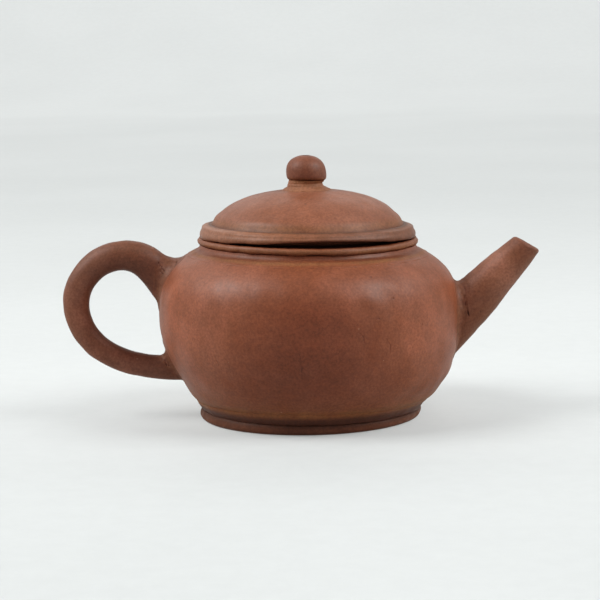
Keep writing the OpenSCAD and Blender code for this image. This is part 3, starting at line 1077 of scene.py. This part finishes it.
# ------------ materials
class Graph:
    """Short calls for building a material's nodes."""

    def __init__(self, name):
        self.material = bpy.data.materials.new(name)
        self.material.use_nodes = True
        self.tree = self.material.node_tree
        self.shader = self.tree.nodes["Principled BSDF"]

    def node(self, kind, **settings):
        made = self.tree.nodes.new(kind)
        for key, value in settings.items():
            setattr(made, key, value)
        return made

    def put(self, socket, value):
        if isinstance(value, bpy.types.NodeSocket):
            self.tree.links.new(value, socket)
        else:
            socket.default_value = value

    def mask(self, name):
        return self.node("ShaderNodeAttribute", attribute_name=name).outputs["Fac"]

    def constants(self, **values):
        """Fixed values on the shader's own sockets, with _ for each space in a name."""
        for name, value in values.items():
            self.shader.inputs[name.replace("_", " ")].default_value = value

    def math(self, operation, a, b, clamp=False):
        made = self.node("ShaderNodeMath", operation=operation, use_clamp=clamp)
        self.put(made.inputs[0], a)
        self.put(made.inputs[1], b)
        return made.outputs[0]

    def times(self, a, b, clamp=False):
        return self.math("MULTIPLY", a, b, clamp)

    def scaled(self, factors):
        place = self.node("ShaderNodeTexCoord").outputs["Object"]
        made = self.node("ShaderNodeVectorMath", operation="MULTIPLY")
        self.put(made.inputs[0], place)
        made.inputs[1].default_value = factors
        return made.outputs[0]

    def noise(self, scale, detail, rough, stretch=(1, 1, 1), distortion=0.0):
        made = self.node("ShaderNodeTexNoise")
        self.put(made.inputs["Vector"], self.scaled(stretch))
        self.put(made.inputs["Scale"], scale)
        self.put(made.inputs["Detail"], detail)
        self.put(made.inputs["Roughness"], rough)
        self.put(made.inputs["Distortion"], distortion)
        return made.outputs["Fac"]

    def grey(self, value):
        made = self.node("ShaderNodeCombineColor")
        for socket in made.inputs[:3]:
            self.put(socket, value)
        return made.outputs[0]

    def dots(self, scale, radius, rarity, shift=(0, 0, 0)):
        """Sparse round specks: radius is a share of the spacing, rarity the share left out."""
        place = self.node("ShaderNodeVectorMath", operation="ADD")
        self.put(place.inputs[0], self.scaled((1, 1, 1)))
        place.inputs[1].default_value = shift
        cells = self.node("ShaderNodeTexVoronoi")
        self.put(cells.inputs["Vector"], place.outputs[0])
        cells.inputs["Scale"].default_value = scale
        parts = self.node("ShaderNodeSeparateColor")
        self.put(parts.inputs[0], cells.outputs["Color"])
        chosen = self.math("GREATER_THAN", parts.outputs[0], rarity)
        edge = self.times(parts.outputs[1], radius * 2)
        near = self.spread(cells.outputs["Distance"], 0, edge, 1.0, 0.0)
        return self.times(near, chosen)

    def spread(self, value, low, high, to_low=0.0, to_high=1.0):
        made = self.node("ShaderNodeMapRange", interpolation_type="SMOOTHSTEP")
        for socket, v in zip(made.inputs[:5], (value, low, high, to_low, to_high)):
            self.put(socket, v)
        return made.outputs[0]

    def tint(self, base, mask, strength, color):
        """The base with a colour laid over it where the mask is."""
        return self.mix(self.times(mask, strength), base, color)

    def mix(self, factor, a, b, blend="MIX"):
        made = self.node("ShaderNodeMix", data_type="RGBA", blend_type=blend)
        self.put(made.inputs["Factor"], factor)
        self.put(made.inputs["A"], a)
        self.put(made.inputs["B"], b)
        return made.outputs["Result"]


def clay(name, tone=(1, 1, 1), polish=0.5, grain=1.0):
    """Unglazed red clay: mottled, with patina, specks and fine scraping marks, and the painted
    shade and painted light that its masks lay on.
    """
    g = Graph(name)
    color = lambda r, gr, b: (r * tone[0], gr * tone[1], b * tone[2], 1)
    brown = color(0.160, 0.0470, 0.0185)
    pink = color(0.210, 0.0735, 0.0395)
    orange = color(0.305, 0.1000, 0.0520)
    dark = color(0.115, 0.0290, 0.0115)
    olive = color(0.205, 0.0860, 0.0320)
    tea_stain_and_shade = color(0.050, 0.017, 0.009)
    quartz = color(0.42, 0.24, 0.16)
    iron = color(0.05, 0.018, 0.010)
    slit_shade = color(0.045, 0.012, 0.006)
    cloud = g.spread(g.noise(60, 5, 0.6, distortion=0.4), 0.3, 0.7)
    base = g.tint(brown, cloud, 0.8, pink)
    red_noise = g.spread(g.noise(220, 5, 0.65), 0.25, 0.75, 0.4, 1.3)
    red = g.times(g.mask("red"), red_noise, clamp=True)
    # Orange mottling, and on the front flanks painted light as well
    base = g.tint(base, red, 0.65, orange)
    # Dark spots, with the painted shade that pieces add to the dark mask
    base = g.tint(base, g.mask("dark"), 0.5, dark)
    olive_noise = g.spread(g.noise(240, 3, 0.6), 0.2, 0.65, 0.3, 1.0)
    patina = g.times(g.mask("patina"), olive_noise, clamp=True)
    base = g.tint(base, patina, 0.8, olive)
    # Tea stain inside the pot, and painted shade in grooves, coves and under edges
    base = g.tint(base, g.mask("inside"), 0.75, tea_stain_and_shade)
    blotch = g.spread(g.noise(330, 4, 0.6), 0.3, 0.7, 0.93, 1.05)
    sand = g.spread(g.noise(1700, 4, 0.7), 0.3, 0.7, 0.80, 1.20)
    base = g.mix(1.0, base, g.grey(g.times(blotch, sand)), "MULTIPLY")
    base = g.tint(base, g.dots(170, 0.035, 0.62), 0.55, quartz)
    dark_spot = g.dots(210, 0.05, 0.6, (0.37, 0.21, 0.55))
    base = g.tint(base, dark_spot, 0.75, iron)
    # Painted shade in the tool marks and pits
    base = g.tint(base, g.mask("mark"), 0.8, slit_shade)
    g.put(g.shader.inputs["Base Color"], base)

    worn = g.spread(g.noise(90, 4, 0.6), 0.3, 0.7)
    rough = g.spread(worn, 0, 1, 0.68 - 0.34 * polish, 0.78 - 0.34 * polish)
    rough = g.math("ADD", rough, g.times(g.mask("patina"), 0.12))
    g.put(g.shader.inputs["Roughness"], rough)
    g.constants(Specular_IOR_Level=0.43, IOR=1.5, Coat_Weight=0.09 * polish, Coat_Roughness=0.3)

    grit = g.noise(1500, 4, 0.65)
    scrape = g.noise(800, 3, 0.6, stretch=(0.12, 0.12, 1.0), distortion=0.4)
    height = g.math("ADD", g.times(grit, 0.6), g.times(scrape, 0.5))
    height = g.math("ADD", height, g.times(dark_spot, -1.2))
    made = g.node("ShaderNodeBump")
    made.inputs["Strength"].default_value = 0.35 * grain
    made.inputs["Distance"].default_value = 0.00018
    g.put(made.inputs["Height"], height)
    g.put(g.shader.inputs["Normal"], made.outputs["Normal"])
    return g.material


# ------------ stage
def paper_glow(p):
    """Light that the paper gives off by emission, though it is no lamp: painted contact shadow
    right round the pot and in front of it, a painted pool of light just behind it, and more far
    away.
    """
    x, y = p[:, 0], p[:, 1]
    # Painted contact shadow round the foot and on the floor in front
    painted_shadow_in_front = 0.065 * bump(np.hypot(x, y + 42), 0, 30) + 0.068 * smooth_step(-y, -10, 60)
    # Painted pool of light behind the pot
    behind = 0.055 * bump(y, 30, 42) * (1 - smooth_step(np.abs(x), 50, 75))
    backdrop = 0.05 * smooth_step(y, 1200, 1700) - 0.075 * bump(y, 560, 400)
    far = 0.3 * smooth_step(np.hypot(x, np.minimum(y, 0)), 900, 3200)
    return 0.285 - painted_shadow_in_front + behind + backdrop + far


def make_stage():
    """A pale paper sweep that curves up behind the pot, with a finer mesh round it."""
    far, height, bend, half = 1600, 2400, 900, 6000
    under_foot = 0.02
    steps = half * np.linspace(0, 1, 32) ** 2.5
    x = np.r_[-steps[:0:-1], steps]
    floor_y = np.r_[-steps[:0:-1], steps[steps < far]]
    rise = np.vstack([arc((far, bend), bend, -90, 0, 24), [(far + bend, height)]])
    line = np.vstack([np.c_[floor_y, 0 * floor_y], rise])
    line[:, 1] -= under_foot
    p = np.vstack([np.c_[np.full(len(line), at), line] for at in x])
    count = len(line)
    faces = []
    for column in range(len(x) - 1):
        for i in range(column * count, column * count + count - 1):
            faces.append((i, i + count, i + count + 1, i + 1))
    paper = mesh_object("paper_sweep", p, faces)
    add_mask(paper, "glow", paper_glow(p))
    g = Graph("paper")
    tone = g.spread(g.noise(6, 2, 0.5), 0.3, 0.7)
    fibre = g.grey(g.spread(g.noise(160, 6, 0.75), 0.3, 0.7, 0.975, 1.02))
    paper_color = g.mix(tone, (0.385, 0.40, 0.395, 1), (0.405, 0.42, 0.415, 1))
    g.put(g.shader.inputs["Base Color"], g.mix(1.0, paper_color, fibre, "MULTIPLY"))
    # The paper glows by its emission mask: painted light and painted contact shadow on the floor
    g.put(g.shader.inputs["Emission Strength"], g.mask("glow"))
    g.constants(Emission_Color=(0.98, 1.0, 0.99, 1), Roughness=0.9, Specular_IOR_Level=0.2)
    paper.data.materials.append(g.material)


def area_light(name, place, target, width, height, power):
    """A rectangular lamp that faces its target."""
    data = bpy.data.lights.new(name, "AREA")
    data.shape = "RECTANGLE"
    data.size, data.size_y = width * MM, height * MM
    data.energy = power
    lamp = bpy.data.objects.new(name, data)
    lamp.location = Vector(place) * MM
    way = Vector(target) - Vector(place)
    lamp.rotation_mode = "QUATERNION"
    lamp.rotation_quaternion = way.to_track_quat("-Z", "Y")
    bpy.context.scene.collection.objects.link(lamp)


def make_lights():
    """Two softboxes high on the left and right, one over the backdrop, and the room."""
    middle = (0, 0, 25)
    area_light("left_softbox", (-1100, -200, 1150), middle, 900, 900, 23.5)
    area_light("right_softbox", (1100, -330, 1020), middle, 900, 900, 19.2)
    area_light("backdrop_light", (0, 2050, 1400), (0, 2050, 0), 2400, 600, 9.5)
    make_room()


def make_room():
    """Dim light from all round, and the paler tone that a camera sees past the paper."""
    world = bpy.data.worlds.new("room")
    bpy.context.scene.world = world
    world.use_nodes = True
    tree = world.node_tree
    room = tree.nodes["Background"]
    room.inputs["Color"].default_value = (0.97, 0.99, 1.0, 1)
    room.inputs["Strength"].default_value = 0.41
    seen = tree.nodes.new("ShaderNodeBackground")
    seen.inputs["Color"].default_value = (0.755, 0.78, 0.77, 1)
    rays = tree.nodes.new("ShaderNodeLightPath")
    either = tree.nodes.new("ShaderNodeMixShader")
    tree.links.new(rays.outputs["Is Camera Ray"], either.inputs[0])
    tree.links.new(room.outputs[0], either.inputs[1])
    tree.links.new(seen.outputs[0], either.inputs[2])
    tree.links.new(either.outputs[0], tree.nodes["World Output"].inputs["Surface"])


def make_camera():
    """In front, a little above the lid, looking down, with the roll of a hand-held shot."""
    place = (-2.26, -520, 101.3)
    pitch, roll = math.radians(7.91), math.radians(-1.17)
    ahead = Vector((0, math.cos(pitch), -math.sin(pitch)))
    right = Vector((1, 0, 0))
    up = Vector((0, math.sin(pitch), math.cos(pitch)))
    turned_right = right * math.cos(roll) + up * math.sin(roll)
    turned_up = up * math.cos(roll) - right * math.sin(roll)
    data = bpy.data.cameras.new("camera")
    data.sensor_width = 36
    data.lens = 125.94
    data.clip_start, data.clip_end = 0.01, 20
    camera = bpy.data.objects.new("camera", data)
    turn = Matrix((turned_right, turned_up, -ahead)).transposed()
    camera.matrix_world = Matrix.Translation(Vector(place) * MM) @ turn.to_4x4()
    bpy.context.scene.collection.objects.link(camera)
    bpy.context.scene.camera = camera


def deepen_shadows(view):
    """The tone curve of a camera: mid and light tones stay, dark tones go down."""
    view.use_curve_mapping = True
    curve = view.curve_mapping.curves[3]
    dark = [(0.02, 0.009), (0.05, 0.031), (0.1, 0.081), (0.2, 0.19)]
    for place in dark + [(0.4, 0.41), (0.8, 0.8)]:
        curve.points.new(*place)
    view.curve_mapping.update()


def make_pot():
    body = clay("clay_body", polish=0.55)
    foot = clay("clay_foot", (0.66, 0.78, 0.86), polish=0.2, grain=1.4)
    mouth = clay("clay_mouth", (1.0, 1.15, 1.25), polish=0.45)
    spout = clay("clay_spout", (0.9, 1.12, 1.36), polish=0.33)
    grip = clay("clay_handle", (0.74, 0.89, 1.06), polish=0.38)
    joint = clay("clay_joint", (0.8, 0.94, 1.08), polish=0.25, grain=1.6)
    make_foot_ring(foot)
    make_base_disc(body)
    make_body_wall(body)
    make_shoulder_disc(body)
    make_neck_band(body)
    make_mouth_ring(mouth)
    make_spout(spout)
    make_spout_fillet(joint)
    make_handle(grip)
    make_handle_fillets(joint)


def make_lid():
    lid = clay("clay_lid", (1.05, 1.2, 1.34), polish=0.5)
    # The rim's paler, pinker tone is partly dust and partly a painted sheen
    rim = clay("clay_rim_dust_and_sheen", (1.22, 1.6, 1.85), polish=0.5)
    stem = clay("clay_stem", (1.15, 1.38, 1.55), polish=0.2)
    knob = clay("clay_knob", (0.82, 0.88, 0.98), polish=0.45)
    make_lid_rim(rim)
    make_lid_dome(lid)
    make_lid_flange(lid)
    make_knob_stem(stem)
    make_knob(knob)


make_camera()
make_stage()
make_lights()
make_pot()
make_lid()

scene = bpy.context.scene
scene.view_settings.view_transform = "Standard"
deepen_shadows(scene.view_settings)
